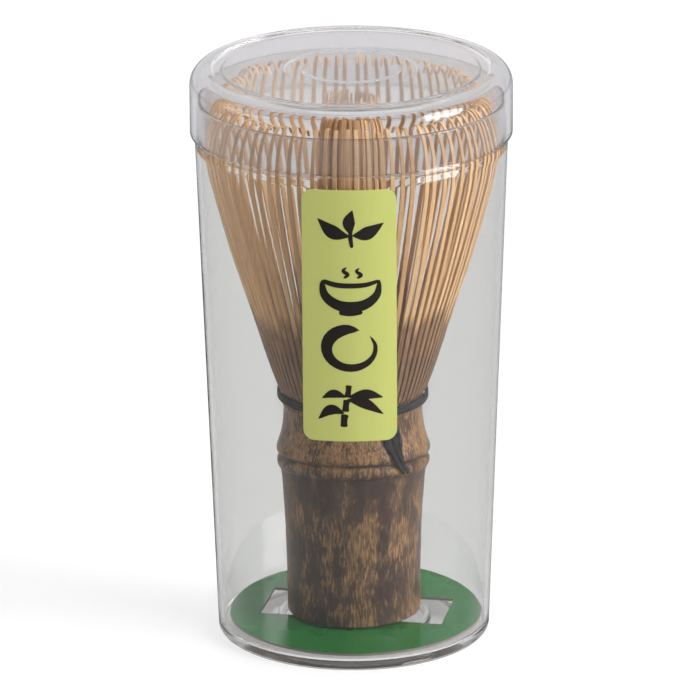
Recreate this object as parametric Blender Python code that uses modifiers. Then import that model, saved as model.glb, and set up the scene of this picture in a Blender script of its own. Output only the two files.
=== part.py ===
"""A bamboo tea whisk standing in its clear travel case.

Frame: metres, +Z up, origin at the middle of the case's foot, front towards -Y.
Lengths below are written in millimetres and multiplied by MM where a shape is made.
"""
from math import cos, pi, radians, sin

import bmesh
import bpy
from mathutils import Vector

MM = 0.001
MERGE = 0.00001

# Round pieces
SHELL_SIDES = 48
HANDLE_SIDES = 40

# Clear case, a straight taper that is widest under its lid
CASE_FOOT_R = 28.15
CASE_FOOT_Z = 4.0
CASE_TOP_R = 32.05
CASE_TOP_Z = 107.2
CASE_WALL = 0.9
CASE_NECK_R = 31.4
CASE_NECK_INNER_R = 30.6
CASE_RIM_Z = 115.4
CASE_FLOOR_Z = 2.0
CASE_RING_R = 15.2
CASE_RING_TOP_Z = 3.3
CASE_FOOT_RING_R = 26.6
CASE_FOOT_RECESS_R = 22.0
CASE_UNDERSIDE_Z = 0.9

# Press-on lid
LID_R = 33.0
LID_INNER_R = 31.75
LID_SKIRT_Z = 107.7
LID_TOP_Z = 121.4
LID_PANEL_Z = 121.1
LID_GROOVE_Z = 120.75
LID_UNDERSIDE_Z = 119.9
LID_SHOULDER_R = 3.5
LID_SHOULDER_STEPS = 4
LID_RING_RADII = (10.0, 13.7, 26.6, 28.6)

# Die-cut card under the whisk
CARD_R = 26.15
CARD_BOTTOM_Z = 3.6
CARD_TOP_Z = 4.1
SLOT_LENGTH = 38.3
SLOT_WIDTH = 15.2
SLOT_CENTRE = (0.3, 0.8)
SLOT_TURN = radians(-10.0)
SLOT_CUT_HEIGHT = 4.0

# Sticker on the front of the case
LABEL_WIDTH = 19.4
LABEL_LOW_Z = 50.9
LABEL_HIGH_Z = 104.9
LABEL_CORNER_R = 2.3
LABEL_GAP = 0.12
LABEL_THICKNESS = 0.15
LABEL_TURN = radians(-1.1)

# Bamboo handle: a hollow culm closed by the wall inside its node
HANDLE_LOW_Z = 4.4
HANDLE_TOP_Z = 49.6
HANDLE_OUTLINE = (
    (14.55, 49.6), (14.45, 48.5), (14.75, 45.0), (15.3, 42.5), (16.0, 40.4), (15.95, 39.6), (15.5, 38.7),
    (15.55, 38.1), (15.85, 37.0), (15.7, 35.9), (15.1, 33.2), (14.6, 29.0), (14.1, 21.0), (13.95, 4.4),
)
BORE_R = 10.2
UPPER_BORE_R = 10.9
NODE_WALL_LOW_Z = 37.4
NODE_WALL_HIGH_Z = 40.1

# Split bamboo: the culm is split into sections, and each section into tines
SECTIONS = 16
TINES_PER_SECTION = 5
OUTER_PATH = (
    (14.6, 49.9), (14.75, 52.8), (15.75, 54.2), (17.8, 60.0), (20.9, 70.0), (24.8, 82.0), (28.6, 96.0),
    (30.1, 103.5), (29.2, 110.8), (26.7, 115.8),
)
OUTER_THICKNESS = 0.75
OUTER_WIDTHS = (0.84, 0.84, 0.87, 0.9, 0.95, 1.0, 1.05, 1.0, 0.85, 0.6)
INNER_PATH = ((12.5, 49.9), (12.2, 53.0), (8.4, 70.0), (6.7, 88.0), (6.3, 104.0), (5.5, 114.3))
INNER_THICKNESS = 0.5
INNER_WIDTHS = (0.66, 0.66, 0.4, 0.34, 0.34, 0.3)

# Binding thread
THREAD_R = 0.27
BINDING_R = 15.35
BINDING_LOW_Z = 50.8
BINDING_PITCH = 0.6
BINDING_TURNS = 3
BINDING_STEPS = 24
WEAVE_R = 13.3
WEAVE_Z = 53.8
WEAVE_RISE = 0.35
WEAVE_STEPS = 48
KNOT_TURN = radians(31.0)
KNOT_R = 16.6
KNOT_Z = 51.4
KNOT_SIZE = (1.2, 0.65, 1.0)
TAIL_R = 0.34
TAIL_LIFT = 0.9
TAILS = (("thread_tail_left", 27.4, 37.4, 38.2), ("thread_tail_right", 33.6, 41.8, 37.4))


def clear_scene():
    for obj in list(bpy.data.objects):
        bpy.data.objects.remove(obj, do_unlink=True)


def make_collection(name):
    collection = bpy.data.collections.new(name)
    bpy.context.scene.collection.children.link(collection)
    return collection


def make_material(name, colour, roughness, alpha=1.0):
    material = bpy.data.materials.new(name)
    material.use_nodes = True
    shader = material.node_tree.nodes["Principled BSDF"]
    shader.inputs["Base Color"].default_value = (*colour, 1.0)
    shader.inputs["Roughness"].default_value = roughness
    shader.inputs["Metallic"].default_value = 0.0
    shader.inputs["Alpha"].default_value = alpha
    return material


def add_object(name, data, collection, material=None):
    obj = bpy.data.objects.new(name, data)
    collection.objects.link(obj)
    if material is not None:
        data.materials.append(material)
    return obj


def mesh_from(bm, name):
    mesh = bpy.data.meshes.new(name)
    bm.to_mesh(mesh)
    bm.free()
    return mesh


def lathe(name, outline, sides, collection, material):
    """Turn an open outline of (radius, height) points round Z."""
    bm = bmesh.new()
    verts = [bm.verts.new((r * MM, 0.0, z * MM)) for r, z in outline]
    for first, second in zip(verts, verts[1:]):
        bm.edges.new((first, second))
    obj = add_object(name, mesh_from(bm, name), collection, material)
    screw = obj.modifiers.new("turn", "SCREW")
    screw.axis = "Z"
    screw.steps = sides
    screw.render_steps = sides
    screw.use_merge_vertices = True
    screw.merge_threshold = MERGE
    screw.use_smooth_shade = True
    return obj


def around_axis(radius, angle, z):
    """A point at an angle from the front, turning towards +X."""
    return Vector((radius * sin(angle), -radius * cos(angle), z)) * MM


def case_radius(z):
    """Outer radius of the case's tapered wall at height z."""
    share = (z - CASE_FOOT_Z) / (CASE_TOP_Z - CASE_FOOT_Z)
    return CASE_FOOT_R + (CASE_TOP_R - CASE_FOOT_R) * share


def make_case(collection, material):
    inner_foot_r = case_radius(CASE_FOOT_Z) - CASE_WALL
    inner_top_z = CASE_TOP_Z - 2.2
    outline = [
        (0.0, CASE_FLOOR_Z),
        (CASE_RING_R - 0.8, CASE_FLOOR_Z),
        (CASE_RING_R - 0.5, CASE_RING_TOP_Z),
        (CASE_RING_R + 0.5, CASE_RING_TOP_Z),
        (CASE_RING_R + 0.8, CASE_FLOOR_Z),
        (inner_foot_r - 1.1, CASE_FLOOR_Z),
        (inner_foot_r - 0.3, CASE_FLOOR_Z + 0.4),
        (inner_foot_r, CASE_FLOOR_Z + 1.3),
        (case_radius(inner_top_z) - CASE_WALL, inner_top_z),
        (CASE_NECK_INNER_R, CASE_TOP_Z - 0.8),
        (CASE_NECK_INNER_R, CASE_RIM_Z),
        (CASE_NECK_R, CASE_RIM_Z),
        (CASE_NECK_R, CASE_TOP_Z + 0.3),
        (CASE_TOP_R, CASE_TOP_Z),
        (CASE_FOOT_R - 0.1, 1.9),
        (CASE_FOOT_R - 0.5, 0.7),
        (CASE_FOOT_RING_R, 0.0),
        (CASE_FOOT_RECESS_R, 0.0),
        (CASE_FOOT_RECESS_R - 0.9, CASE_UNDERSIDE_Z),
        (0.0, CASE_UNDERSIDE_Z),
    ]
    return lathe("case_body", outline, SHELL_SIDES, collection, material)


def shoulder(radius, top_z, rounding):
    """A quarter circle from the flat top out to the side, in steps."""
    angles = [pi / 2 * step / LID_SHOULDER_STEPS for step in range(LID_SHOULDER_STEPS + 1)]
    return [(radius - rounding * (1 - sin(a)), top_z - rounding * (1 - cos(a))) for a in angles]


def make_lid(collection, material):
    first, second, third, fourth = LID_RING_RADII
    outline = [
        (0.0, LID_PANEL_Z),
        (first - 0.3, LID_PANEL_Z),
        (first, LID_GROOVE_Z),
        (second - 0.3, LID_GROOVE_Z),
        (second, LID_PANEL_Z),
        (third - 0.3, LID_PANEL_Z),
        (third, LID_GROOVE_Z),
        (fourth - 0.3, LID_GROOVE_Z),
        (fourth, LID_TOP_Z),
    ]
    outline += shoulder(LID_R, LID_TOP_Z, LID_SHOULDER_R)
    outline += [(LID_R, LID_SKIRT_Z), (LID_INNER_R, LID_SKIRT_Z)]
    outline += reversed(shoulder(LID_INNER_R, LID_UNDERSIDE_Z, LID_SHOULDER_R - 1.2))
    outline.append((0.0, LID_UNDERSIDE_Z))
    return lathe("case_lid", outline, SHELL_SIDES, collection, material)


def make_card(collection, cutters, material):
    bm = bmesh.new()
    bmesh.ops.create_cone(
        bm, cap_ends=True, segments=SHELL_SIDES, radius1=CARD_R * MM, radius2=CARD_R * MM,
        depth=(CARD_TOP_Z - CARD_BOTTOM_Z) * MM,
    )
    middle_z = (CARD_TOP_Z + CARD_BOTTOM_Z) / 2
    card = add_object("base_card", mesh_from(bm, "base_card"), collection, material)
    card.location = (0.0, 0.0, middle_z * MM)

    bm = bmesh.new()
    bmesh.ops.create_cube(bm, size=1.0)
    bmesh.ops.scale(bm, vec=(SLOT_LENGTH * MM, SLOT_WIDTH * MM, SLOT_CUT_HEIGHT * MM), verts=bm.verts)
    cutter = add_object("slot_cutter", mesh_from(bm, "slot_cutter"), cutters)
    cutter.location = (SLOT_CENTRE[0] * MM, SLOT_CENTRE[1] * MM, middle_z * MM)
    cutter.rotation_euler = (0.0, 0.0, SLOT_TURN)
    cutter.hide_render = True
    cutter.display_type = "WIRE"
    cut = card.modifiers.new("slot", "BOOLEAN")
    cut.operation = "DIFFERENCE"
    cut.object = cutter
    return card


def make_label(collection, material):
    """A rounded rectangle wrapped on the front of the tapered wall."""
    corner_steps = 3
    rows = 2 * corner_steps + 1
    columns = 8
    half_width = LABEL_WIDTH / 2
    bm = bmesh.new()
    bmesh.ops.create_grid(bm, x_segments=columns, y_segments=rows, size=1.0)
    for vert in bm.verts:
        row = round((vert.co.y + 1.0) * rows / 2)
        low_half = row <= corner_steps
        step = row if low_half else rows - row
        angle = step * pi / 2 / corner_steps
        inset = LABEL_CORNER_R * (1.0 - sin(angle))
        rise = LABEL_CORNER_R * (1.0 - cos(angle))
        z = LABEL_LOW_Z + rise if low_half else LABEL_HIGH_Z - rise
        radius = case_radius(z) + LABEL_GAP
        turn = LABEL_TURN + vert.co.x * (half_width - inset) / radius
        vert.co = around_axis(radius, turn, z)
    label = add_object("case_label", mesh_from(bm, "case_label"), collection, material)
    label.data.shade_smooth()
    shell = label.modifiers.new("paper", "SOLIDIFY")
    shell.thickness = LABEL_THICKNESS * MM
    shell.offset = 1.0
    return label


def make_handle(collection, material):
    outline = [(0.0, NODE_WALL_HIGH_Z), (UPPER_BORE_R - 1.2, NODE_WALL_HIGH_Z)]
    outline.append((UPPER_BORE_R, NODE_WALL_HIGH_Z + 1.4))
    outline.append((UPPER_BORE_R, HANDLE_TOP_Z))
    outline.extend(HANDLE_OUTLINE)
    outline.append((BORE_R, HANDLE_LOW_Z))
    outline.append((BORE_R, NODE_WALL_LOW_Z - 1.2))
    outline.append((BORE_R - 1.0, NODE_WALL_LOW_Z))
    outline.append((0.0, NODE_WALL_LOW_Z))
    return lathe("handle", outline, HANDLE_SIDES, collection, material)


def make_section(name, number, path, widths, thickness, collection, material):
    """One split section: a root band with its tines, as a sheet thickened inwards."""
    span = 2 * pi / SECTIONS
    pitch = span / TINES_PER_SECTION
    start = number * span

    def edge_angles(level):
        half = widths[level] / path[level][0] / 2
        middles = [start + pitch * (tine + 0.5) for tine in range(TINES_PER_SECTION)]
        return [middle + side * half for middle in middles for side in (-1, 1)]

    bm = bmesh.new()
    angles = edge_angles(0)
    row = [bm.verts.new(around_axis(path[0][0], angle, path[0][1])) for angle in angles]
    band = [bm.edges.new(pair) for pair in zip(row, row[1:])]
    raised = bmesh.ops.extrude_edge_only(bm, edges=band)["geom"]
    row = [item for item in raised if isinstance(item, bmesh.types.BMVert)]
    row.sort(key=lambda vert: around_order(vert, start))
    for vert, angle in zip(row, edge_angles(1)):
        vert.co = around_axis(path[1][0], angle, path[1][1])
    for level in range(2, len(path)):
        tines = [bm.edges.get(pair) for pair in zip(row[0::2], row[1::2])]
        raised = bmesh.ops.extrude_edge_only(bm, edges=tines)["geom"]
        row = [item for item in raised if isinstance(item, bmesh.types.BMVert)]
        row.sort(key=lambda vert: around_order(vert, start))
        for vert, angle in zip(row, edge_angles(level)):
            vert.co = around_axis(path[level][0], angle, path[level][1])
    bm.normal_update()
    middle = around_axis(1.0, start + span / 2, 0.0)
    first_face = next(iter(bm.faces))
    if first_face.normal.dot(middle) < 0:
        bmesh.ops.reverse_faces(bm, faces=bm.faces)
    obj = add_object(f"{name}_{number + 1:02d}", mesh_from(bm, name), collection, material)
    shell = obj.modifiers.new("thickness", "SOLIDIFY")
    shell.thickness = thickness * MM
    shell.offset = -1.0
    return obj


def around_order(vert, start):
    """Angle of a vertex past the start of its section."""
    direction = Vector((sin(start), -cos(start), 0.0))
    side = Vector((cos(start), sin(start), 0.0))
    return vert.co.dot(side) / max(vert.co.dot(direction), MERGE)


def make_tines(collection, material):
    for number in range(SECTIONS):
        make_section("outer_tines", number, OUTER_PATH, OUTER_WIDTHS, OUTER_THICKNESS, collection, material)
        make_section("inner_tines", number, INNER_PATH, INNER_WIDTHS, INNER_THICKNESS, collection, material)


def make_thread(name, points, radius, collection, material, closed=False, radii=None):
    curve = bpy.data.curves.new(name, "CURVE")
    curve.dimensions = "3D"
    curve.bevel_depth = radius * MM
    curve.bevel_resolution = 1
    curve.use_fill_caps = not closed
    spline = curve.splines.new("POLY")
    spline.points.add(len(points) - 1)
    spline.use_cyclic_u = closed
    for index, point in enumerate(points):
        spline.points[index].co = (*point, 1.0)
        if radii is not None:
            spline.points[index].radius = radii[index]
    return add_object(name, curve, collection, material)


def make_binding(collection, material):
    steps = BINDING_TURNS * BINDING_STEPS
    turn = 2 * pi / BINDING_STEPS
    coil = [
        around_axis(BINDING_R, KNOT_TURN + step * turn, BINDING_LOW_Z + BINDING_PITCH * step / BINDING_STEPS)
        for step in range(steps)
    ]
    make_thread("binding_thread", coil, THREAD_R, collection, material)
    ring = [
        around_axis(WEAVE_R, 2 * pi * step / WEAVE_STEPS, WEAVE_Z + WEAVE_RISE * (-1) ** step)
        for step in range(WEAVE_STEPS)
    ]
    make_thread("weave_thread", ring, THREAD_R, collection, material, closed=True)


def make_knot(collection, material):
    bm = bmesh.new()
    bmesh.ops.create_icosphere(bm, subdivisions=2, radius=1.0)
    bmesh.ops.scale(bm, vec=[size * MM for size in KNOT_SIZE], verts=bm.verts)
    knot = add_object("thread_knot", mesh_from(bm, "thread_knot"), collection, material)
    knot.data.shade_smooth()
    knot.location = around_axis(KNOT_R, KNOT_TURN, KNOT_Z)
    knot.rotation_euler = (0.0, 0.0, KNOT_TURN)


def handle_radius(z):
    """Outer radius of the handle at height z."""
    for (upper_r, upper_z), (lower_r, lower_z) in zip(HANDLE_OUTLINE, HANDLE_OUTLINE[1:]):
        if lower_z <= z <= upper_z:
            share = (z - lower_z) / (upper_z - lower_z)
            return lower_r + (upper_r - lower_r) * share
    return HANDLE_OUTLINE[0][0]


def make_tails(collection, material):
    """The cut ends hang from the knot over the node of the handle."""
    top_z = KNOT_Z - KNOT_SIZE[2] - 0.6
    steps = 7
    for name, top_turn, end_turn, end_z in TAILS:
        points = []
        radii = []
        for step in range(steps + 1):
            share = step / steps
            z = top_z + (end_z - top_z) * share
            radius = max(handle_radius(z), handle_radius(NODE_WALL_HIGH_Z) * share) + TAIL_LIFT
            turn = radians(top_turn + (end_turn - top_turn) * share)
            points.append(around_axis(radius, turn, z))
            radii.append(1.0 + 0.25 * sin(pi * share) - 0.35 * share)
        make_thread(name, points, TAIL_R, collection, material, radii=radii)


def main():
    clear_scene()
    parts = make_collection("tea_whisk_in_case")
    cutters = make_collection("cutters")

    clear = make_material("clear_plastic", (0.86, 0.87, 0.88), 0.08, alpha=0.3)
    sticker = make_material("label_paper", (0.55, 0.62, 0.14), 0.4)
    board = make_material("green_card", (0.02, 0.17, 0.05), 0.3)
    smoked = make_material("smoked_bamboo", (0.11, 0.06, 0.035), 0.5)
    pale = make_material("split_bamboo", (0.52, 0.31, 0.15), 0.55)
    black = make_material("black_thread", (0.03, 0.03, 0.035), 0.8)

    make_case(parts, clear)
    make_lid(parts, clear)
    make_label(parts, sticker)
    make_card(parts, cutters, board)
    make_handle(parts, smoked)
    make_tines(parts, pale)
    make_binding(parts, black)
    make_knot(parts, black)
    make_tails(parts, black)


main()
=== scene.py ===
"""A bamboo tea whisk in its clear travel case.

Lengths are written in millimetres and multiplied by MM where a mesh is placed.
+Z is up, the label faces -Y, and the origin is the middle of the case's foot.
"""
import random
from math import atan2, cos, pi, radians, sin, tau

import bmesh
import bpy
from mathutils import Matrix, Vector, noise


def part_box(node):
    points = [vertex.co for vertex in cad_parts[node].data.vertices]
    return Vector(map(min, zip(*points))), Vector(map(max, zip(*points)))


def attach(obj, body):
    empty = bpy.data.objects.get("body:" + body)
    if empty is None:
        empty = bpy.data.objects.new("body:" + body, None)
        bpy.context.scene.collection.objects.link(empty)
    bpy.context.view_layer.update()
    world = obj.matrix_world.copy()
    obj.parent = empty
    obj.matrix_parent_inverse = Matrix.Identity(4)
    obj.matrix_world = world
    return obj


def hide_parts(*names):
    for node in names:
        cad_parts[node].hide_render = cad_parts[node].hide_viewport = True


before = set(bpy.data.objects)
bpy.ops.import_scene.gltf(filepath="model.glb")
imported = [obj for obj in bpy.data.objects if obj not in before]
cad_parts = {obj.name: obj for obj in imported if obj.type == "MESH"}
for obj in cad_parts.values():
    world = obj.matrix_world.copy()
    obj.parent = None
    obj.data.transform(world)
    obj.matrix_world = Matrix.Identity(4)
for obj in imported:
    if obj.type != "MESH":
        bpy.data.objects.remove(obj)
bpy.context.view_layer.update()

MM = 0.001

# Clear case and lid
ROUND_STEPS = 128
HOLD = 0.2
CLEAR_WALL_BOUNCES = 32
CASE_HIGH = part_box("case_body")[1]
LID_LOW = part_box("case_lid")[0]
LID_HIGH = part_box("case_lid")[1]
WALL = 0.9
FOOT_R = 28.15
FOOT_Z = 4.0
TOP_R = CASE_HIGH.x / MM
TOP_Z = 107.2
NECK_R = 31.4
NECK_INNER_R = 30.6
RIM_Z = CASE_HIGH.z / MM
LID_R = LID_HIGH.x / MM
LID_INNER_R = 31.75
SKIRT_Z = LID_LOW.z / MM
LID_Z = LID_HIGH.z / MM
LID_RINGS = (10.0, 13.7, 26.6, 28.6)

# Whisk
HANDLE_LOW_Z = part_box("handle")[0].z / MM
HANDLE_TOP_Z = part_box("handle")[1].z / MM
HANDLE_STEPS = 128
SECTIONS = 16
TINES_PER_SECTION = 5
TINE_SIDES = 8
OUTER_STEPS = 44
INNER_STEPS = 24
ROOT_Z = HANDLE_TOP_Z + 0.02
# (height, how tan the handle's skin is there); the sharp dip at 38.4 is painted shade in the node's groove,
# and the levels also fall just under the lip, near 35.0
TAN_AND_GROOVE_SHADE_LEVELS = (
    (4.4, 0.32), (14.0, 0.36), (23.0, 0.39), (28.0, 0.30), (32.0, 0.18),
    (35.0, 0.10), (35.9, 0.30), (37.2, 0.52), (38.0, 0.40), (38.4, 0.08),
    (39.0, 0.42), (40.2, 0.58), (43.0, 0.58), (46.0, 0.56), (49.6, 0.56),
)
STAIN_Z = 71.3

# Label
LABEL_LOW_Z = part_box("case_label")[0].z / MM
LABEL_HIGH_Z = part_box("case_label")[1].z / MM
LABEL_WIDTH = 19.4
LABEL_CORNER = 2.3
LABEL_TURN = radians(-1.1)
LABEL_LIFT = 0.2
INK_LIFT = 0.235
PAPER_THICKNESS = 0.1
INK_THICKNESS = 0.02


# ---------------------------------------------------------------- small helpers

def finish_mesh(bm, name, body, material, nodes=(), sharp=35.0):
    """Make the piece, give it its body, slot and finish, and hide the nodes it stands for."""
    mesh = bpy.data.meshes.new(name)
    bm.to_mesh(mesh)
    bm.free()
    mesh.shade_smooth()
    mesh.set_sharp_from_angle(angle=radians(sharp))
    mesh.materials.append(material)
    piece = bpy.data.objects.new(name, mesh)
    bpy.context.scene.collection.objects.link(piece)
    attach(piece, body)
    if nodes:
        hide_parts(*nodes)


def arc(centre_r, centre_z, radius, start, end, steps=8):
    """Points on a circle from start to end, in degrees, 0 outwards and 90 up."""
    angles = [radians(start + (end - start) * step / steps) for step in range(steps + 1)]
    return [(centre_r + radius * cos(a), centre_z + radius * sin(a)) for a in angles]


def ease(start, end, steps=6):
    """A soft step from one outline point to the next."""
    points = []
    for step in range(steps + 1):
        share = step / steps
        rise = (1 - cos(pi * share)) / 2
        points.append((start[0] + (end[0] - start[0]) * share, start[1] + (end[1] - start[1]) * rise))
    return points


def smooth_line(points, count):
    """Evenly numbered points on a smooth curve through the given ones."""
    vectors = [Vector(point) for point in points]
    ends = [2 * vectors[0] - vectors[1]] + vectors + [2 * vectors[-1] - vectors[-2]]
    spans = len(vectors) - 1
    line = []
    for step in range(count + 1):
        place = min(step * spans / count, spans - 1e-9)
        span = int(place)
        t = place - span
        a, b, c, d = ends[span:span + 4]
        line.append(0.5 * (2 * b + (c - a) * t + (2 * a - 5 * b + 4 * c - d) * t ** 2
                           + (3 * b - a - 3 * c + d) * t ** 3))
    return line


def between(value, low, high):
    """0 below low, 1 above high, and smooth between them."""
    share = min(max((value - low) / (high - low), 0.0), 1.0)
    return share * share * (3 - 2 * share)


def with_held_flats(outline):
    """Add a point close to each end of every long run, so that its shading stays flat."""
    held = [outline[0]]
    for start, end in zip(outline, outline[1:]):
        length = ((end[0] - start[0]) ** 2 + (end[1] - start[1]) ** 2) ** 0.5
        if length > 4 * HOLD:
            for share in (HOLD / length, 1.0 - HOLD / length):
                held.append(
                    (start[0] + (end[0] - start[0]) * share, start[1] + (end[1] - start[1]) * share)
                )
        held.append(end)
    return held


def turned(outline, steps):
    """A bmesh turned from an outline of (radius, height) in millimetres."""
    bm = bmesh.new()
    verts = [bm.verts.new((r * MM, 0.0, z * MM)) for r, z in with_held_flats(outline)]
    for pair in zip(verts, verts[1:]):
        bm.edges.new(pair)
    bmesh.ops.spin(
        bm, geom=bm.verts[:] + bm.edges[:], cent=(0, 0, 0), axis=(0, 0, 1), dvec=(0, 0, 0),
        angle=tau, steps=steps, use_merge=True, use_duplicate=False,
    )
    bmesh.ops.remove_doubles(bm, verts=bm.verts, dist=0.000002)
    bmesh.ops.recalc_face_normals(bm, faces=bm.faces)
    return bm


def sweep(bm, stations, sides, shape):
    """A closed bar whose cross-section passes through the stations. Returns the loops of vertices."""
    made = bmesh.ops.create_circle(bm, cap_ends=True, segments=sides, radius=1.0)
    verts = made["verts"]
    for vert in verts:
        vert.co = shape(vert.co)
    edges = list({edge for vert in verts for edge in vert.link_edges})
    bmesh.ops.transform(bm, matrix=stations[0], verts=verts)
    loops = [verts]
    for before, after in zip(stations, stations[1:]):
        grown = bmesh.ops.extrude_edge_only(bm, edges=edges)["geom"]
        verts = [item for item in grown if isinstance(item, bmesh.types.BMVert)]
        edges = [item for item in grown if isinstance(item, bmesh.types.BMEdge)]
        bmesh.ops.transform(bm, matrix=after @ before.inverted(), verts=verts)
        loops.append(verts)
    bmesh.ops.edgeloop_fill(bm, edges=edges)
    return loops


def lath_shape(co):
    """Turn a unit circle into a flat bar's section with soft corners."""
    angle = atan2(co.y, co.x)
    power = 0.45
    x = abs(cos(angle)) ** power * (1 if cos(angle) > 0 else -1)
    y = abs(sin(angle)) ** power * (1 if sin(angle) > 0 else -1)
    return Vector((x, y, 0.0))


def ply_shape(co):
    """Turn a unit circle into a three-ply cord's section."""
    angle = atan2(co.y, co.x)
    return co * (1.0 + 0.14 * cos(3 * angle))


def plain_shape(co):
    return co


def around(radius, angle, z):
    """A point at an angle from the front, turning towards +X, in metres."""
    return Vector((radius * sin(angle), -radius * cos(angle), z)) * MM


def case_radius(z):
    """Outer radius of the case's taper at height z."""
    return FOOT_R + (TOP_R - FOOT_R) * (z - FOOT_Z) / (TOP_Z - FOOT_Z)


# ---------------------------------------------------------------- materials

def add_group(name, inputs, outputs):
    group = bpy.data.node_groups.new(name, "ShaderNodeTree")
    for label, value in inputs:
        socket = group.interface.new_socket(name=label, in_out="INPUT", socket_type="NodeSocketFloat")
        socket.default_value = value
    for label in outputs:
        group.interface.new_socket(name=label, in_out="OUTPUT", socket_type="NodeSocketFloat")
    return group, group.nodes.new("NodeGroupInput"), group.nodes.new("NodeGroupOutput")


def join(tree, source, target):
    tree.links.new(source, target)


def math_node(tree, operation, first, second=None, third=None):
    node = tree.nodes.new("ShaderNodeMath")
    node.operation = operation
    for socket, value in zip(node.inputs, (first, second, third)):
        if value is None:
            continue
        if isinstance(value, (int, float)):
            socket.default_value = value
        else:
            join(tree, value, socket)
    return node.outputs[0]


def map_node(tree, value, low, high, new_low=0.0, new_high=1.0):
    node = tree.nodes.new("ShaderNodeMapRange")
    node.interpolation_type = "SMOOTHSTEP"
    join(tree, value, node.inputs["Value"])
    node.inputs["From Min"].default_value = low
    node.inputs["From Max"].default_value = high
    node.inputs["To Min"].default_value = new_low
    node.inputs["To Max"].default_value = new_high
    return node.outputs["Result"]


def mix_node(tree, factor, first, second, blend="MIX"):
    node = tree.nodes.new("ShaderNodeMix")
    node.data_type = "RGBA"
    node.blend_type = blend
    for socket, value in ((node.inputs[0], factor), (node.inputs[6], first), (node.inputs[7], second)):
        if isinstance(value, tuple):
            socket.default_value = (*value, 1.0)
        elif isinstance(value, (int, float)):
            socket.default_value = value
        else:
            join(tree, value, socket)
    return node.outputs[2]


def noise_node(tree, vector, scale, detail=3.0, roughness=0.55):
    node = tree.nodes.new("ShaderNodeTexNoise")
    join(tree, vector, node.inputs["Vector"])
    if isinstance(scale, (int, float)):
        node.inputs["Scale"].default_value = scale
    else:
        join(tree, scale, node.inputs["Scale"])
    node.inputs["Detail"].default_value = detail
    node.inputs["Roughness"].default_value = roughness
    return node.outputs["Fac"]


def grain_group():
    """Long fibres and round blotches that follow a piece's own height."""
    group, inputs, outputs = add_group(
        "bamboo grain",
        (("Fibre Scale", 1500.0), ("Fibre Stretch", 12.0), ("Blotch Scale", 300.0), ("Blotch Stretch", 2.0)),
        ("Fibre", "Blotch", "Fleck"),
    )
    place = group.nodes.new("ShaderNodeTexCoord")
    parts = group.nodes.new("ShaderNodeSeparateXYZ")
    join(group, place.outputs["Object"], parts.inputs[0])

    def stretched(stretch):
        node = group.nodes.new("ShaderNodeCombineXYZ")
        join(group, parts.outputs["X"], node.inputs["X"])
        join(group, parts.outputs["Y"], node.inputs["Y"])
        join(group, math_node(group, "DIVIDE", parts.outputs["Z"], stretch), node.inputs["Z"])
        return node.outputs[0]

    fibre = noise_node(
        group, stretched(inputs.outputs["Fibre Stretch"]), inputs.outputs["Fibre Scale"], 4.0, 0.6
    )
    blotch = noise_node(
        group, stretched(inputs.outputs["Blotch Stretch"]), inputs.outputs["Blotch Scale"], 5.0, 0.6
    )
    fleck_scale = math_node(group, "MULTIPLY", inputs.outputs["Blotch Scale"], 5.0)
    fleck = noise_node(group, stretched(inputs.outputs["Blotch Stretch"]), fleck_scale, 2.0, 0.5)
    join(group, fibre, outputs.inputs["Fibre"])
    join(group, blotch, outputs.inputs["Blotch"])
    join(group, fleck, outputs.inputs["Fleck"])
    return group


def new_material(name, roughness=0.5):
    material = bpy.data.materials.new(name)
    material.use_nodes = True
    tree = material.node_tree
    shader = tree.nodes["Principled BSDF"]
    shader.inputs["Roughness"].default_value = roughness
    return material, tree, shader


def use_grain(tree, fibre_scale, fibre_stretch, blotch_scale, blotch_stretch):
    node = tree.nodes.new("ShaderNodeGroup")
    node.node_tree = GRAIN
    node.inputs["Fibre Scale"].default_value = fibre_scale
    node.inputs["Fibre Stretch"].default_value = fibre_stretch
    node.inputs["Blotch Scale"].default_value = blotch_scale
    node.inputs["Blotch Stretch"].default_value = blotch_stretch
    return node


def bump_node(tree, height, strength, distance):
    node = tree.nodes.new("ShaderNodeBump")
    node.inputs["Strength"].default_value = strength
    node.inputs["Distance"].default_value = distance
    join(tree, height, node.inputs["Height"])
    return node.outputs["Normal"]


def ramp_node(tree, value, stops):
    """A smooth run of grey levels, given as (position, level)."""
    node = tree.nodes.new("ShaderNodeValToRGB")
    join(tree, value, node.inputs["Fac"])
    first, last = node.color_ramp.elements
    first.position, last.position = stops[0][0], stops[-1][0]
    first.color = (stops[0][1],) * 3 + (1.0,)
    last.color = (stops[-1][1],) * 3 + (1.0,)
    for position, level in stops[1:-1]:
        node.color_ramp.elements.new(position).color = (level,) * 3 + (1.0,)
    return node.outputs["Color"]


def attribute(tree, name):
    node = tree.nodes.new("ShaderNodeAttribute")
    node.attribute_name = name
    return node.outputs["Fac"]


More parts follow.
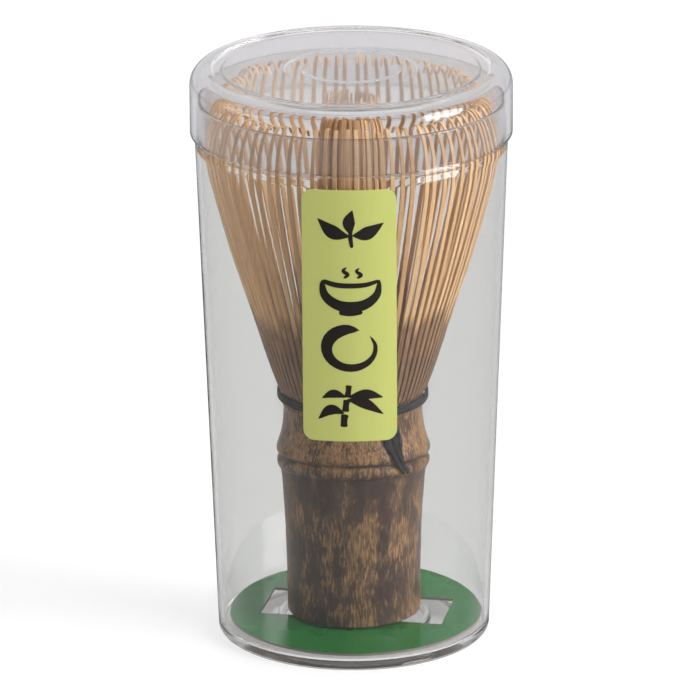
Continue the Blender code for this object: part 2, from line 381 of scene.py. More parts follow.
def smoked_bamboo():
    """Dark mottled skin: streaky above the node, nearly black under it, flecked with tan lower down."""
    material, tree, shader = new_material("smoked_bamboo", 0.42)
    shader.inputs["Specular IOR Level"].default_value = 0.3
    grain = use_grain(tree, 1700.0, 3.6, 230.0, 1.9)
    hairs = use_grain(tree, 3800.0, 11.0, 620.0, 3.5)
    level = attribute(tree, "level")
    share = map_node(tree, level, HANDLE_LOW_Z, HANDLE_TOP_Z)
    share.node.interpolation_type = "LINEAR"
    handle_height = HANDLE_TOP_Z - HANDLE_LOW_Z
    # The dip in this ramp at the node's groove is painted shade, not skin colour.
    ramp = ramp_node(tree, share, [((z - HANDLE_LOW_Z) / handle_height, tan) for z, tan in TAN_AND_GROOVE_SHADE_LEVELS])
    dashes = map_node(tree, grain.outputs["Fibre"], 0.32, 0.68)
    zones = map_node(tree, grain.outputs["Blotch"], 0.34, 0.66)
    threads = map_node(tree, hairs.outputs["Fibre"], 0.34, 0.66)
    mottle = math_node(tree, "MULTIPLY_ADD", dashes, 0.40, math_node(tree, "MULTIPLY", zones, 0.42))
    mottle = math_node(tree, "MULTIPLY_ADD", threads, 0.18, mottle)
    pale = map_node(tree, math_node(tree, "ADD", mottle, ramp), 0.78, 1.20)
    dark = mix_node(tree, zones, (0.040, 0.023, 0.017), (0.098, 0.054, 0.032))
    tan = mix_node(tree, threads, (0.17, 0.086, 0.036), (0.35, 0.20, 0.088))
    colour = mix_node(tree, pale, dark, tan)
    speck = math_node(tree, "MULTIPLY", map_node(tree, hairs.outputs["Blotch"], 0.60, 0.72), ramp)
    colour = mix_node(tree, speck, colour, (0.37, 0.225, 0.105))
    pit = math_node(tree, "MULTIPLY", map_node(tree, hairs.outputs["Fleck"], 0.60, 0.70), 0.7)
    colour = mix_node(tree, pit, colour, (0.035, 0.020, 0.016))
    join(tree, colour, shader.inputs["Base Color"])
    join(tree, map_node(tree, mottle, 0.2, 0.8, 0.34, 0.5), shader.inputs["Roughness"])
    join(tree, bump_node(tree, mottle, 0.3, 0.00015), shader.inputs["Normal"])
    return material


def split_bamboo():
    """Pale shaved fibre, with the smoked skin left on the outside near the root."""
    material, tree, shader = new_material("split_bamboo", 0.5)
    shader.inputs["Specular IOR Level"].default_value = 0.35
    grain = use_grain(tree, 2600.0, 45.0, 420.0, 14.0)
    tone = attribute(tree, "tone")
    skin = attribute(tree, "skin")
    stain = attribute(tree, "stain")
    light = mix_node(tree, grain.outputs["Fibre"], (0.60, 0.37, 0.185), (0.80, 0.545, 0.305))
    deep = mix_node(tree, grain.outputs["Fibre"], (0.46, 0.26, 0.11), (0.66, 0.41, 0.20))
    colour = mix_node(tree, tone, deep, light)
    worn_stain = map_node(tree, grain.outputs["Blotch"], 0.25, 0.6, 0.55, 1.0)
    rough_stain = math_node(tree, "MULTIPLY", stain, worn_stain)
    colour = mix_node(tree, rough_stain, colour, (0.29, 0.165, 0.086))
    worn_skin = map_node(tree, grain.outputs["Blotch"], 0.3, 0.6, 0.6, 1.0)
    rough_skin = math_node(tree, "MULTIPLY", skin, worn_skin)
    colour = mix_node(tree, rough_skin, colour, (0.175, 0.097, 0.052))
    join(tree, colour, shader.inputs["Base Color"])
    join(tree, map_node(tree, grain.outputs["Fibre"], 0.3, 0.7, 0.42, 0.6), shader.inputs["Roughness"])
    join(tree, bump_node(tree, grain.outputs["Fibre"], 0.3, 0.00008), shader.inputs["Normal"])
    return material


def black_thread():
    material, tree, shader = new_material("black_thread", 0.7)
    grain = use_grain(tree, 6000.0, 3.0, 1500.0, 1.0)
    colour = mix_node(tree, grain.outputs["Fibre"], (0.005, 0.005, 0.006), (0.028, 0.027, 0.027))
    join(tree, colour, shader.inputs["Base Color"])
    shader.inputs["Specular IOR Level"].default_value = 0.2
    shader.inputs["Sheen Weight"].default_value = 0.15
    shader.inputs["Sheen Roughness"].default_value = 0.5
    join(tree, bump_node(tree, grain.outputs["Fibre"], 0.6, 0.0001), shader.inputs["Normal"])
    return material


def clear_plastic(name, tint, roughness):
    """Thin clear moulding. Lamps reach what is inside it straight through."""
    material, tree, shader = new_material(name, roughness)
    shader.inputs["Base Color"].default_value = (*tint, 1.0)
    shader.inputs["Transmission Weight"].default_value = 1.0
    shader.inputs["IOR"].default_value = 1.46
    grain = use_grain(tree, 90.0, 1.0, 40.0, 1.0)
    join(tree, bump_node(tree, grain.outputs["Fibre"], 0.02, 0.0006), shader.inputs["Normal"])
    output = tree.nodes["Material Output"]
    path = tree.nodes.new("ShaderNodeLightPath")
    through = tree.nodes.new("ShaderNodeBsdfTransparent")
    through.inputs["Color"].default_value = (0.93, 0.93, 0.94, 1.0)
    mixer = tree.nodes.new("ShaderNodeMixShader")
    join(tree, path.outputs["Is Shadow Ray"], mixer.inputs[0])
    join(tree, shader.outputs[0], mixer.inputs[1])
    join(tree, through.outputs[0], mixer.inputs[2])
    join(tree, mixer.outputs[0], output.inputs["Surface"])
    return material


def label_paper():
    """Yellow-green paper with a faint laid texture."""
    material, tree, shader = new_material("label_paper", 0.32)
    grain = use_grain(tree, 1500.0, 1.0, 160.0, 6.0)
    colour = mix_node(tree, grain.outputs["Blotch"], (0.50, 0.535, 0.135), (0.585, 0.615, 0.18))
    join(tree, colour, shader.inputs["Base Color"])
    join(tree, map_node(tree, grain.outputs["Fibre"], 0.3, 0.7, 0.28, 0.38), shader.inputs["Roughness"])
    join(tree, bump_node(tree, grain.outputs["Fibre"], 0.1, 0.00003), shader.inputs["Normal"])
    return material


def brush_ink():
    material, tree, shader = new_material("brush_ink", 0.5)
    grain = use_grain(tree, 2500.0, 1.0, 400.0, 1.0)
    colour = mix_node(tree, grain.outputs["Blotch"], (0.010, 0.007, 0.005), (0.022, 0.016, 0.011))
    join(tree, colour, shader.inputs["Base Color"])
    join(tree, map_node(tree, grain.outputs["Fibre"], 0.3, 0.7, 0.45, 0.6), shader.inputs["Roughness"])
    return material


def printed_card():
    """Gloss green print on the upper face, bare grey board on the edge and back."""
    material, tree, shader = new_material("printed_card", 0.2)
    grain = use_grain(tree, 3000.0, 1.0, 200.0, 1.0)
    facing = tree.nodes.new("ShaderNodeNewGeometry")
    parts = tree.nodes.new("ShaderNodeSeparateXYZ")
    join(tree, facing.outputs["Normal"], parts.inputs[0])
    printed = map_node(tree, parts.outputs["Z"], 0.5, 0.8)
    green = mix_node(tree, grain.outputs["Blotch"], (0.004, 0.132, 0.018), (0.007, 0.162, 0.026))
    board = mix_node(tree, grain.outputs["Fibre"], (0.16, 0.135, 0.12), (0.26, 0.22, 0.20))
    join(tree, mix_node(tree, printed, board, green), shader.inputs["Base Color"])
    join(tree, map_node(tree, printed, 0.0, 1.0, 0.8, 0.11), shader.inputs["Roughness"])
    join(tree, bump_node(tree, grain.outputs["Fibre"], 0.05, 0.00004), shader.inputs["Normal"])
    return material


GRAIN = grain_group()
CASE_PLASTIC = clear_plastic("case_plastic", (0.775, 0.775, 0.77), 0.0)
LID_PLASTIC = clear_plastic("lid_plastic", (0.82, 0.81, 0.83), 0.04)
HANDLE_BAMBOO = smoked_bamboo()
TINE_BAMBOO = split_bamboo()
THREAD = black_thread()
PAPER = label_paper()
INK = brush_ink()
CARD = printed_card()


# ---------------------------------------------------------------- clear case and lid

def make_case():
    floor_z = 2.0
    ring_r = 15.2
    corner = 1.3
    foot_corner = 1.7
    inner_foot = FOOT_R - WALL
    ring_top = floor_z + 1.3
    taper_end = 105.0
    step_start = 105.2
    neck_low = 106.6
    recess_z = 0.9
    outline = [(0.0, floor_z), (ring_r - 1.3, floor_z)]
    outline += ease((ring_r - 0.9, floor_z), (ring_r - 0.4, ring_top))
    outline += ease((ring_r + 0.4, ring_top), (ring_r + 0.9, floor_z))
    outline += arc(inner_foot - corner, floor_z + corner, corner, -90, 0)
    outline.append((case_radius(taper_end) - WALL, taper_end))
    outline += ease((case_radius(step_start) - WALL, step_start), (NECK_INNER_R, neck_low))[1:]
    outline += arc(NECK_INNER_R + 0.4, RIM_Z - 0.4, 0.4, 180, 0)
    outline += [(NECK_R, TOP_Z + 0.5)]
    outline += arc(TOP_R - 0.35, TOP_Z - 0.15, 0.35, 90, 0, 4)
    outline += arc(FOOT_R - foot_corner, foot_corner, foot_corner, 0, -90)
    outline += ease((22.4, 0.0), (21.0, recess_z))
    outline.append((0.0, recess_z))
    bm = turned(outline, ROUND_STEPS)
    finish_mesh(bm, "clear_case", "case", CASE_PLASTIC, ["case_body"])


def make_lid():
    first, second, third, fourth = LID_RINGS
    panel = LID_Z - 0.3
    groove = LID_Z - 0.65
    under = LID_Z - 1.5
    shoulder = 3.5
    inner_shoulder = 2.3
    outline = [(0.0, panel), (first - 0.5, panel)]
    outline += ease((first - 0.4, panel), (first + 0.1, groove))
    outline += ease((second - 0.4, groove), (second + 0.1, panel))
    outline += ease((third - 0.4, panel), (third + 0.1, groove))
    outline += ease((fourth - 0.5, groove), (fourth + 0.2, LID_Z))
    outline += arc(LID_R - shoulder, LID_Z - shoulder, shoulder, 90, 0, 16)
    outline += arc(LID_R - 0.3, SKIRT_Z + 0.3, 0.3, 0, -90, 4)
    outline += arc(LID_INNER_R + 0.25, SKIRT_Z + 0.25, 0.25, -90, -180, 4)
    outline += arc(LID_INNER_R - inner_shoulder, under - inner_shoulder, inner_shoulder, 0, 90, 12)
    outline.append((0.0, under))
    bm = turned(outline, ROUND_STEPS)
    finish_mesh(bm, "clear_lid", "lid", LID_PLASTIC, ["case_lid"])


# ---------------------------------------------------------------- card

def make_card():
    """A disc with a long slot under the whisk. Its front bows down a little and its back up."""
    low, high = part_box("base_card")
    radius = high.x
    slot_length = 38.3 * MM
    slot_width = 15.2 * MM
    turn = Matrix.Rotation(radians(-11.0), 4, "Z")
    centre = Vector((0.3 * MM, 0.8 * MM, 0.0))
    bow = 0.6 * MM
    slide = 0.35 * MM
    bm = bmesh.new()
    bmesh.ops.create_circle(bm, cap_ends=True, segments=96, radius=radius)
    for side in (-1, 1):
        for direction, reach in ((Vector((1, 0, 0)), slot_length / 2), (Vector((0, 1, 0)), slot_width / 2)):
            normal = turn @ direction
            bmesh.ops.bisect_plane(
                bm, geom=bm.verts[:] + bm.edges[:] + bm.faces[:], plane_co=centre + normal * side * reach,
                plane_no=normal,
            )
    inside = []
    for face in bm.faces:
        spot = turn.inverted() @ (face.calc_center_median() - centre)
        if abs(spot.x) < slot_length / 2 and abs(spot.y) < slot_width / 2:
            inside.append(face)
    bmesh.ops.delete(bm, geom=inside, context="FACES")
    strips = 10
    for strip in range(1 - strips, strips):  # so that the bow bends the faces, not only the rim
        bmesh.ops.bisect_plane(
            bm, geom=bm.verts[:] + bm.edges[:] + bm.faces[:], plane_co=(0, radius * strip / strips, 0),
            plane_no=(0, 1, 0),
        )
    bmesh.ops.translate(bm, vec=(slide, 0, low.z), verts=bm.verts)
    flat_share = 0.3
    for vert in bm.verts:
        reach = max(abs(vert.co.y) / radius - flat_share, 0.0) / (1 - flat_share)
        vert.co.z += bow * reach ** 1.2 * (1 if vert.co.y > 0 else -1)
    grown = bmesh.ops.extrude_face_region(bm, geom=bm.faces[:])["geom"]
    raised = [item for item in grown if isinstance(item, bmesh.types.BMVert)]
    bmesh.ops.translate(bm, vec=(0, 0, high.z - low.z), verts=raised)
    bmesh.ops.recalc_face_normals(bm, faces=bm.faces)
    finish_mesh(bm, "printed_card", "card", CARD, ["base_card"], 20.0)


# ---------------------------------------------------------------- label and its ink drawings

def face_out(bm):
    """Turn every face of an open sheet away from the axis."""
    for face in bm.faces:
        face.normal_update()
        centre = face.calc_center_median()
        if face.normal.x * centre.x + face.normal.y * centre.y < 0:
            face.normal_flip()


def on_label(x, y, lift):
    """A point of the flat label, in millimetres from its middle, wrapped on the case."""
    z = (LABEL_LOW_Z + LABEL_HIGH_Z) / 2 + y
    radius = case_radius(z) + lift
    return around(radius, LABEL_TURN + x / radius, z)


def make_label():
    corner_steps = 8
    rows = 2 * corner_steps + 1
    columns = 24
    half = LABEL_WIDTH / 2
    tall = (LABEL_HIGH_Z - LABEL_LOW_Z) / 2
    bm = bmesh.new()
    bmesh.ops.create_grid(bm, x_segments=columns, y_segments=rows, size=1.0)
    for vert in bm.verts:
        row = round((vert.co.y + 1.0) * rows / 2)
        from_end = min(row, rows - row)
        angle = from_end * pi / 2 / corner_steps
        width = half - LABEL_CORNER * (1.0 - sin(angle))
        y = tall - LABEL_CORNER * (1.0 - cos(angle))
        vert.co = on_label(vert.co.x * width, y if row > corner_steps else -y, LABEL_LIFT)
    face_out(bm)
    bmesh.ops.solidify(bm, geom=bm.faces[:], thickness=PAPER_THICKNESS * MM)
    finish_mesh(bm, "label", "case", PAPER, ["case_label"])


def brush_stroke(bm, points, widths):
    """One ink stroke: a strip laid along a smooth line, its width following the brush."""
    steps = 28
    line = smooth_line([(*point, 0.0) for point in points], steps)
    spread = smooth_line([(width, 0.0, 0.0) for width in widths], steps)
    made = bmesh.ops.create_grid(bm, x_segments=2, y_segments=steps, size=1.0)
    for vert in made["verts"]:
        step = round((vert.co.y + 1.0) * steps / 2)
        along = line[min(step + 1, steps)] - line[max(step - 1, 0)]
        side = Vector((along.y, -along.x, 0.0)).normalized()
        share = step / steps
        blunt = (1.0 - abs(2 * share - 1.0) ** 14) ** 0.5
        spot = line[step] + side * vert.co.x * max(spread[step].x, 0.02) * max(blunt, 0.03)
        vert.co = (spot.x, spot.y, 0.0)


def make_drawing(name, middle_y, strokes):
    bm = bmesh.new()
    for points, widths in strokes:
        brush_stroke(bm, points, widths)
    for vert in bm.verts:
        vert.co = on_label(vert.co.x + 0.3, vert.co.y + middle_y, INK_LIFT)
    face_out(bm)
    bmesh.ops.solidify(bm, geom=bm.faces[:], thickness=INK_THICKNESS * MM)
    finish_mesh(bm, name, "case", INK)


def make_drawings():
    ring_turns = [radians(angle) for angle in range(70, 401, 30)]
    ring = [(5.0 * cos(angle), 4.2 * sin(angle)) for angle in ring_turns]
    make_drawing("ink_tea_sprig", 18.7, (
        (((0.3, -4.0), (0.0, -1.8), (0.1, 0.4)), (0.35, 0.45, 0.35)),
        (((0.1, -1.2), (-0.3, 1.4), (0.4, 4.1)), (0.2, 1.25, 0.1)),
        (((-0.2, -1.6), (-3.6, -0.6), (-6.7, 2.2)), (0.2, 1.45, 0.1)),
        (((0.4, -1.4), (3.4, -0.9), (6.8, 1.2)), (0.2, 1.4, 0.1)),
    ))
    make_drawing("ink_tea_bowl", 5.6, (
        (
            ((-5.9, 2.1), (-5.2, -1.2), (-2.2, -3.3), (2.2, -3.3), (5.2, -1.2), (5.9, 2.1)),
            (0.5, 0.9, 1.1, 1.1, 0.8, 0.4),
        ),
        (((-5.9, 2.0), (-2.5, 1.1), (2.5, 1.1), (6.0, 2.0)), (0.5, 0.55, 0.5, 0.35)),
        (((-2.4, -4.7), (0.0, -4.9), (2.4, -4.7)), (0.55, 0.6, 0.4)),
        (((-1.4, 2.6), (-0.6, 3.4), (-1.5, 4.2), (-0.8, 5.0)), (0.2, 0.4, 0.35, 0.1)),
        (((1.3, 2.6), (2.1, 3.3), (1.2, 4.1), (1.8, 4.8)), (0.2, 0.38, 0.3, 0.1)),
    ))
    make_drawing("ink_ring", -6.9, (
        (ring, (0.5, 1.1, 1.3, 1.25, 1.1, 0.95, 0.85, 0.8, 0.65, 0.5, 0.4, 0.2)),
    ))
    make_drawing("ink_bamboo", -19.3, (
        (((-1.5, -4.6), (-1.5, -3.2), (-1.3, -1.8)), (0.75, 0.65, 0.8)),
        (((-1.2, -1.3), (-1.1, 0.1), (-0.9, 1.3)), (0.75, 0.6, 0.75)),
        (((-0.8, 1.8), (-0.6, 3.2), (-0.5, 4.5)), (0.7, 0.55, 0.65)),
        (((-0.9, 1.4), (2.6, 0.6), (6.6, -2.0)), (0.15, 1.15, 0.1)),
        (((-0.7, 1.9), (3.0, 2.5), (6.5, 1.7)), (0.15, 1.05, 0.1)),
        (((-1.4, -1.6), (-4.2, -0.9), (-6.8, -3.0)), (0.15, 1.1, 0.1)),
        (((-1.0, 1.9), (-3.6, 2.6), (-6.0, 1.6)), (0.15, 0.9, 0.1)),
    ))


# ---------------------------------------------------------------- handle

HANDLE_OUTLINE = (
    (14.55, 49.6), (14.42, 48.4), (14.6, 45.6), (15.0, 43.2), (15.6, 41.2),
    (15.98, 40.0), (15.92, 39.2), (15.6, 38.7), (15.28, 38.35), (15.5, 38.0),
    (15.84, 37.5), (15.88, 36.7), (15.6, 35.9), (15.15, 35.2), (14.95, 33.8),
    (14.7, 30.5), (14.4, 26.0), (14.15, 20.0), (14.0, 12.0), (13.95, 6.0),
)
NODE_TILT = 1.8


def node_lift(z, turn):
    """How far the node is raised at this height and angle from the front."""
    return between(z, 27.0, 35.0) * (1 - between(z, 41.0, 48.0)) * NODE_TILT * cos(turn)


def make_handle():
    """A hollow culm. Its node sits a little higher at the front, as the scar of a sheath does."""
    bore = 10.2
    upper_bore = 10.9
    wall_low = 37.4
    wall_high = 40.1
    outer = [(point.x, point.y) for point in smooth_line([(*point, 0.0) for point in HANDLE_OUTLINE], 114)]
    outline = [(0.0, wall_high), (upper_bore - 1.6, wall_high)]
    outline += ease((upper_bore - 1.4, wall_high), (upper_bore, wall_high + 1.6))
    outline += [(upper_bore, HANDLE_TOP_Z - 0.3), (upper_bore + 0.3, HANDLE_TOP_Z)]
    outline += outer
    outline += arc(HANDLE_OUTLINE[-1][0] - 0.5, HANDLE_LOW_Z + 0.5, 0.5, 0, -90, 4)
    outline += [(bore + 0.3, HANDLE_LOW_Z), (bore, HANDLE_LOW_Z + 0.3)]
    outline += [(bore, wall_low - 1.4), (bore - 1.2, wall_low), (0.0, wall_low)]
    bm = turned(outline, HANDLE_STEPS)
    level = bm.verts.layers.float.new("level")
    for vert in bm.verts:
        vert[level] = vert.co.z / MM
        radius = Vector(vert.co.xy).length
        if radius < (upper_bore + 0.8) * MM:
            continue
        angle = atan2(vert.co.x, -vert.co.y)
        z = vert.co.z / MM
        below_top = 1 - between(z, HANDLE_TOP_Z - 2.0, HANDLE_TOP_Z)
        wave = noise.noise(Vector((cos(angle) * 1.4, sin(angle) * 1.4, z * 0.05)))
        ripple = noise.noise(Vector((cos(angle) * 5.0, sin(angle) * 5.0, z * 0.12)))
        out = -0.10 + 0.10 * wave * below_top + 0.05 * ripple * below_top
        scale = 1.0 + out * MM / radius
        vert.co.x *= scale
        vert.co.y *= scale
        lift = node_lift(z, angle) + node_lift(z, 0.0) * 0.1 * ripple
        vert.co.z += lift * MM
    finish_mesh(bm, "bamboo_handle", "whisk", HANDLE_BAMBOO, ["handle"], 50.0)


def handle_radius(z):
    """Outer radius of the handle at height z, from its outline."""
    for (upper_r, upper_z), (lower_r, lower_z) in zip(HANDLE_OUTLINE, HANDLE_OUTLINE[1:]):
        if lower_z <= z <= upper_z:
            return lower_r + (upper_r - lower_r) * (z - lower_z) / (upper_z - lower_z)
    return HANDLE_OUTLINE[0][0]


# ---------------------------------------------------------------- tines

OUTER_PATH = (
    (14.6, ROOT_Z), (14.72, 52.4), (15.55, 53.6), (17.8, 60.0), (20.9, 70.0),
    (24.8, 82.0), (28.6, 96.0),
    (30.1, 103.5), (29.7, 108.6), (28.5, 112.9), (26.6, 115.4), (24.9, 115.3), (24.0, 113.8),
)
INNER_PATH = (
    (12.5, ROOT_Z), (12.2, 53.0), (10.4, 60.0), (8.5, 70.0), (7.2, 80.0),
    (6.6, 92.0), (6.2, 104.0), (5.6, 110.5), (4.9, 114.2),
)


# How far a tine's tip may turn about the axis, in radians, and stray from its radius
OUTER_LEAN = 0.014
INNER_LEAN = 0.16
OUTER_STRAY = 0.2
INNER_STRAY = 0.85


def station(place, along, across, half_width, half_thick):
    """Matrix that puts a unit section on the path, its upper side facing out."""
    forward = along.normalized()
    out = across.cross(forward).normalized()
    matrix = Matrix.Identity(4)
    for column, vector in enumerate((across * half_width * MM, out * half_thick * MM, forward * MM)):
        for row in range(3):
            matrix[row][column] = vector[row]
    matrix.translation = place - out * half_thick * MM
    return matrix


def make_tine(bm, layers, angle, path, steps, width_at, thick_at, draw, outer):
    """One tine along its path; the layers hold its tone, its stain and the skin on its outside."""
    line = smooth_line([(*point, 0.0) for point in path], steps)
    lean = draw.uniform(-1.0, 1.0)
    reach = draw.uniform(-1.0, 1.0)
    lift = draw.uniform(-0.5, 0.5)
    stations = []
    for step, point in enumerate(line):
        share = step / steps
        free = between(point.y, 56.0, 100.0)
        turn = angle + free * lean * (OUTER_LEAN if outer else INNER_LEAN)
        radius = point.x + free * reach * (OUTER_STRAY if outer else INNER_STRAY)
        place = around(radius, turn, point.y + free * lift)
        before = line[max(step - 1, 0)]
        after = line[min(step + 1, steps)]
        slope = after - before
        along = around(1.0, turn, 0.0) * slope.x + Vector((0, 0, MM)) * slope.y
        across = Vector((cos(turn), sin(turn), 0.0))
        stations.append(station(place, along, across, width_at(share) / 2, thick_at(share) / 2))
    loops = sweep(bm, stations, TINE_SIDES, lath_shape)
    tone, stain, skin = layers
    shade = draw.random()
    top = STAIN_Z + draw.uniform(-1.0, 1.0)
    for loop, matrix, point in zip(loops, stations, line):
        back = matrix.inverted()
        stained = 1.0 - between(point.y, top - 0.8, top + 0.5)
        for vert in loop:
            spot = back @ vert.co
            vert[tone] = shade
            vert[stain] = stained
            reach_in = between(top - point.y, -0.5, 9.0) * 0.75 + 0.2
            across_skin = 1.0 - between(abs(spot.x), reach_in - 0.15, reach_in + 0.2)
            on_skin = between(spot.y, 0.2, 0.8) * across_skin
            vert[skin] = stained * on_skin if outer else 0.0


def fade(levels):
    """A value that runs through evenly spaced levels from root to tip."""
    def at(share):
        place = min(share * (len(levels) - 1), len(levels) - 1.0001)
        index = int(place)
        return levels[index] + (levels[index + 1] - levels[index]) * (place - index)
    return at


def make_section(name, number, path, steps, widths, thicks, draw, outer, node):
    bm = bmesh.new()
    layers = [bm.verts.layers.float.new(label) for label in ("tone", "stain", "skin")]
    pitch = tau / SECTIONS / TINES_PER_SECTION
    for tine in range(TINES_PER_SECTION):
        angle = number * tau / SECTIONS + pitch * (tine + 0.5)
        make_tine(bm, layers, angle, path, steps, fade(widths), fade(thicks), draw, outer)
    bmesh.ops.recalc_face_normals(bm, faces=bm.faces)
    finish_mesh(bm, name, "whisk", TINE_BAMBOO, [node], 50.0)


def make_tines():
    draw = random.Random(80)
    outer_widths = (1.02, 1.02, 1.04, 1.06, 1.08, 1.1, 1.08, 1.0, 0.88, 0.82, 0.76, 0.7, 0.6)
    outer_thicks = (0.75, 0.75, 0.75, 0.7, 0.62, 0.55, 0.5, 0.45, 0.38, 0.32, 0.26, 0.2)
    inner_widths = (0.86, 0.86, 0.82, 0.76, 0.74, 0.74, 0.74, 0.66, 0.5)
    inner_thicks = (0.6, 0.6, 0.55, 0.5, 0.45, 0.4, 0.36, 0.3, 0.2)
    for number in range(SECTIONS):
        label = f"{number + 1:02d}"
        make_section(
            f"outer_tine_group_{label}", number, OUTER_PATH, OUTER_STEPS, outer_widths, outer_thicks,
            draw, True, f"outer_tines_{label}",
        )
        make_section(
            f"inner_tine_group_{label}", number, INNER_PATH, INNER_STEPS, inner_widths, inner_thicks,
            draw, False, f"inner_tines_{label}",
        )


# ---------------------------------------------------------------- thread

KNOT_TURN = radians(31.0)
KNOT_Z = 51.4
STRAND_R = 0.27
BINDING_R = 15.3
WEAVE_R = 13.3
# Height, angle of the first fibre and spread of the fibres, both in degrees
TAIL_ROUTE = ((50.9, 29.5, 3.0), (45.4, 25.0, 15.8), (41.8, 30.2, 8.8), (37.6, 38.5, 5.9))


def cord(bm, points, radii, twist=0.0, sides=12, shape=ply_shape):
    """A cord through the points, in metres, its plies turning by twist at each step."""
    stations = []
    across = None
    for step, point in enumerate(points):
        before = points[max(step - 1, 0)]
        after = points[min(step + 1, len(points) - 1)]
        forward = (after - before).normalized()
        if across is None:
            across = forward.orthogonal().normalized()
        across = (across - forward * across.dot(forward)).normalized()
        out = forward.cross(across)
        matrix = Matrix.Identity(4)
        radius = radii[step] * MM
        for column, vector in enumerate((across * radius, out * radius, forward * radius)):
            for row in range(3):
                matrix[row][column] = vector[row]
        matrix.translation = point
        stations.append(matrix @ Matrix.Rotation(twist * step, 4, "Z"))
    sweep(bm, stations, sides, shape)


def make_binding():
    turns = 3
    per_turn = 90
    low_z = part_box("binding_thread")[0].z / MM + STRAND_R + 0.05
    high_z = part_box("binding_thread")[1].z / MM - STRAND_R - 0.05
    count = turns * per_turn
    points = []
    for step in range(count + 1):
        share = step / count
        turn = KNOT_TURN + tau * turns * share
        points.append(around(BINDING_R, turn, low_z + (high_z - low_z) * share))
    bm = bmesh.new()
    cord(bm, points, [STRAND_R + 0.06] * len(points), 0.35)
    bmesh.ops.recalc_face_normals(bm, faces=bm.faces)
    finish_mesh(bm, "binding", "whisk", THREAD, ["binding_thread"], 60.0)


def make_weave():
    """The thread runs in waves between the outer and the inner tines, and stops just short of a full turn."""
    waves = 40
    per_wave = 6
    count = waves * per_wave
    low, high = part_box("weave_thread")
    middle_z = (low.z + high.z) / 2 / MM
    points = []
    for step in range(count - 2):
        turn = tau * step / count
        radius = WEAVE_R + 0.1 * sin(waves * turn)
        points.append(around(radius, turn, middle_z + 0.4 * cos(waves * turn)))
    bm = bmesh.new()
    cord(bm, points, [STRAND_R] * len(points), 0.5, 8)
    bmesh.ops.recalc_face_normals(bm, faces=bm.faces)
    finish_mesh(bm, "weaving", "whisk", THREAD, ["weave_thread"], 60.0)


def make_knot():
    """Two crossed loops of thread over the binding."""
    bm = bmesh.new()
    middle = around(16.35, KNOT_TURN, KNOT_Z)
    side = Vector((cos(KNOT_TURN), sin(KNOT_TURN), 0.0))
    out = Vector((sin(KNOT_TURN), -cos(KNOT_TURN), 0.0))
    up = Vector((0, 0, 1))
    for tilt in (-0.7, 0.7):
        points = []
        for step in range(25):
            turn = tau * step / 26
            flat = side * cos(tilt) + up * sin(tilt)
            rise = up * cos(tilt) - side * sin(tilt)
            points.append(middle + (flat * 0.8 * cos(turn) + rise * 0.45 * sin(turn)
                                    + out * 0.18 * sin(2 * turn + tilt)) * MM)
        cord(bm, points, [0.26] * len(points), 0.5, 8)
    bmesh.ops.recalc_face_normals(bm, faces=bm.faces)
    finish_mesh(bm, "knot", "whisk", THREAD, ["thread_knot"], 60.0)


def make_tail(name, node, shares, fibres, draw):
    """A loose end of untwisted fibres that fan out below the knot and gather again at the tip."""
    steps = 26
    bm = bmesh.new()
    for fibre in range(fibres):
        share = shares[0] + (shares[1] - shares[0]) * fibre / (fibres - 1)
        cut = draw.uniform(0.0, 0.9)
        stray = draw.uniform(-0.3, 0.3)
        route = [(turn + spread * share + stray, z, 0.0) for z, turn, spread in TAIL_ROUTE]
        route[-1] = (route[-1][0], route[-1][1] + cut, 0.0)
        middle_lift = 0.40 + 0.25 * sin(pi * fibre / (fibres - 1))
        points = []
        radii = []
        for step, spot in enumerate(smooth_line(route, steps)):
            turn = radians(spot.x)
            surface = handle_radius(spot.y - node_lift(spot.y, turn))
            surface = max(surface, 15.7 * between(44.0 - spot.y, -1.0, 3.0))
            points.append(around(surface + middle_lift, turn, spot.y))
            radii.append(0.17 - 0.04 * step / steps)
        cord(bm, points, radii, 0.0, 6, plain_shape)
    bmesh.ops.recalc_face_normals(bm, faces=bm.faces)
    finish_mesh(bm, name, "whisk", THREAD, [node], 60.0)


def make_thread():
    draw = random.Random(7)
    make_binding()
    make_weave()
    make_knot()
    make_tail("tail_left", "thread_tail_left", (0.0, 0.34), 7, draw)
    make_tail("tail_right", "thread_tail_right", (0.44, 1.0), 11, draw)


# ---------------------------------------------------------------- surroundings

def make_floor():
    """A pale floor that is darker in mirror reflections, so that the clear wall doesn't haze over."""
    bm = bmesh.new()
    bmesh.ops.create_grid(bm, x_segments=1, y_segments=1, size=3.0)
    bmesh.ops.translate(bm, vec=(0, 0, -0.1 * MM), verts=bm.verts)
    mesh = bpy.data.meshes.new("floor")
    bm.to_mesh(mesh)
    bm.free()
    floor = bpy.data.objects.new("floor", mesh)
    bpy.context.scene.collection.objects.link(floor)
    material, tree, shader = new_material("pale_floor", 0.9)
    shader.inputs["Specular IOR Level"].default_value = 0.0
    path = tree.nodes.new("ShaderNodeLightPath")
    mirrored = math_node(tree, "MULTIPLY", path.outputs["Is Glossy Ray"], path.outputs["Is Reflection Ray"])
    join(tree, mix_node(tree, mirrored, (0.42, 0.42, 0.42), (0.05, 0.05, 0.05)), shader.inputs["Base Color"])
    glow = mix_node(tree, mirrored, (0.62, 0.62, 0.62), (0.05, 0.05, 0.05))
    join(tree, glow, shader.inputs["Emission Color"])
    shader.inputs["Emission Strength"].default_value = 1.0
    mesh.materials.append(material)


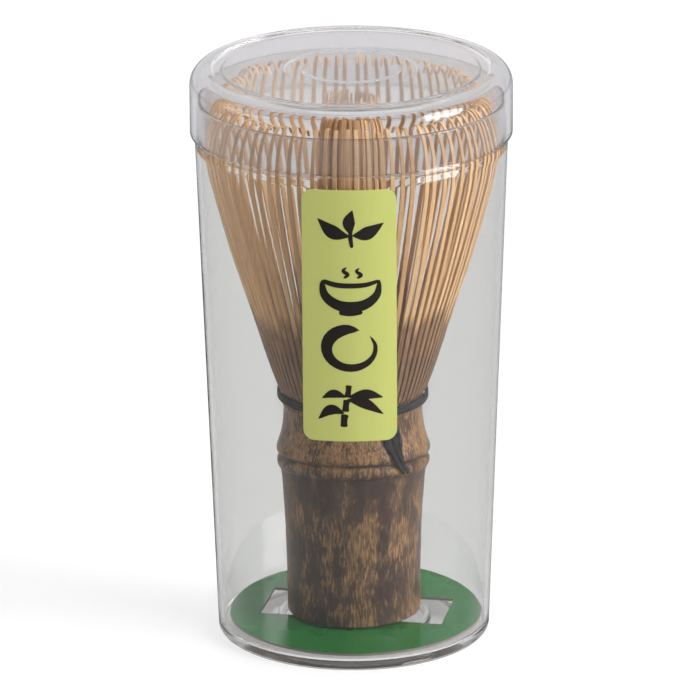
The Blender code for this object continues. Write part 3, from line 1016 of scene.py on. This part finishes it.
def add_lamp(name, place, target, size, power):
    lamp = bpy.data.lights.new(name, "AREA")
    lamp.shape = "DISK"
    lamp.size = size
    lamp.energy = power
    holder = bpy.data.objects.new(name, lamp)
    bpy.context.scene.collection.objects.link(holder)
    holder.location = place
    holder.rotation_euler = (Vector(target) - Vector(place)).to_track_quat("-Z", "Y").to_euler()
    return holder


def light_studio():
    """A pale room, brighter behind the object than in front of it, with the key lamp on the right."""
    world = bpy.data.worlds.new("studio")
    bpy.context.scene.world = world
    world.use_nodes = True
    tree = world.node_tree
    place = tree.nodes.new("ShaderNodeTexCoord")
    parts = tree.nodes.new("ShaderNodeSeparateXYZ")
    join(tree, place.outputs["Generated"], parts.inputs[0])
    strength = map_node(tree, parts.outputs["Y"], -0.6, 0.6, 0.12, 0.72)
    join(tree, strength, tree.nodes["Background"].inputs["Strength"])
    tree.nodes["Background"].inputs["Color"].default_value = (1.0, 1.0, 1.0, 1.0)
    middle = (0.0, 0.0, 0.06)
    add_lamp("key_right", (1.7, -0.62, 0.8), middle, 1.2, 45.0)
    fill = add_lamp("fill_left", (-1.7, -0.1, 0.8), middle, 1.2, 8.0)
    fill.visible_glossy = False
    add_lamp("top", (0.2, 0.3, 2.2), middle, 1.4, 9.0)
    bpy.context.scene.view_settings.view_transform = "Standard"
    for bounces in ("max_bounces", "transmission_bounces", "glossy_bounces", "transparent_max_bounces"):
        setattr(bpy.context.scene.cycles, bounces, CLEAR_WALL_BOUNCES)


def place_camera():
    pitch = radians(18.48)
    distance = 1.7
    target = Vector((0.0, 0.0, 0.0575))
    camera = bpy.data.cameras.new("camera")
    camera.sensor_width = 36.0
    camera.lens = 423.7
    camera.shift_x = -0.0037
    camera.shift_y = 0.0194
    camera.clip_start = 0.05
    camera.clip_end = 20.0
    holder = bpy.data.objects.new("camera", camera)
    bpy.context.scene.collection.objects.link(holder)
    holder.location = target + Vector((0.0, -cos(pitch), sin(pitch))) * distance
    holder.rotation_euler = (
        Matrix.Rotation(pi / 2 - pitch, 3, "X") @ Matrix.Rotation(radians(-0.31), 3, "Z")
    ).to_euler()
    bpy.context.scene.camera = holder


make_case()
make_lid()
make_card()
make_label()
make_drawings()
make_handle()
make_tines()
make_thread()
make_floor()
light_studio()
place_camera()
